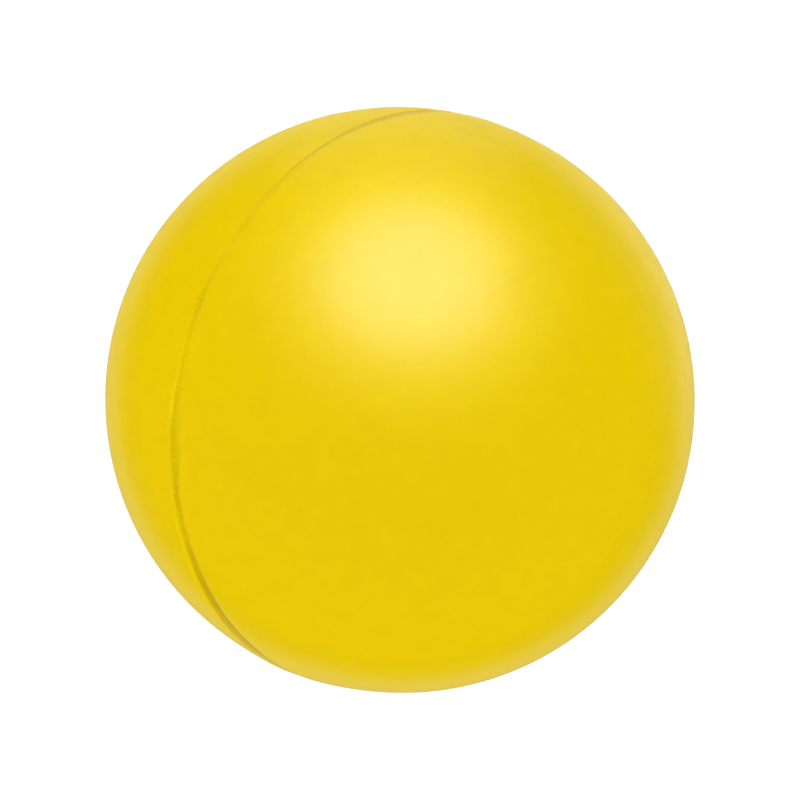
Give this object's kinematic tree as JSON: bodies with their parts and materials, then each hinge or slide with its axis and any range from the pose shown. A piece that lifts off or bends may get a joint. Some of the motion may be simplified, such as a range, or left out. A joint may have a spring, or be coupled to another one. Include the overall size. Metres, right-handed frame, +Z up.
{
  "type": "stress ball",
  "caption": "Round squeezable foam ball with a soft core, a dense moulded skin and a coloured coat in two halves that meet at a raised parting line.",
  "frame": {"origin": "centre of the ball", "axes": "+X along the squeeze axis, square to the parting plane, towards the right half; +Z up; the parting line is in the YZ plane"},
  "size_m": [0.063, 0.0632, 0.0632],
  "materials": {
    "foam": "matte, open-cell foam",
    "skin": "matte, dense foam",
    "coat": "satin",
    "flash": "matte, trimmed edge"
  },
  "bodies": {
    "core": {"foam_core": "foam", "seam_flash": "flash"},
    "left_half": {"left_skin": "skin", "left_coat": "coat"},
    "right_half": {"right_skin": "skin", "right_coat": "coat"}
  },
  "joints": [
    {"name": "left_squeeze", "type": "slide", "parent": "core", "child": "left_half", "axis": [1, 0, 0], "range_m": [0, 0.012], "stiffness_N_per_m": 4000, "deforming": ["left_skin", "left_coat", "foam_core"]},
    {"name": "right_squeeze", "type": "slide", "parent": "core", "child": "right_half", "axis": [-1, 0, 0], "range_m": [0, 0.012], "stiffness_N_per_m": 4000, "deforming": ["right_skin", "right_coat", "foam_core"]}
  ],
  "couplings": [
    {"joint": "right_squeeze", "follows": "left_squeeze", "ratio": 1}
  ]
}
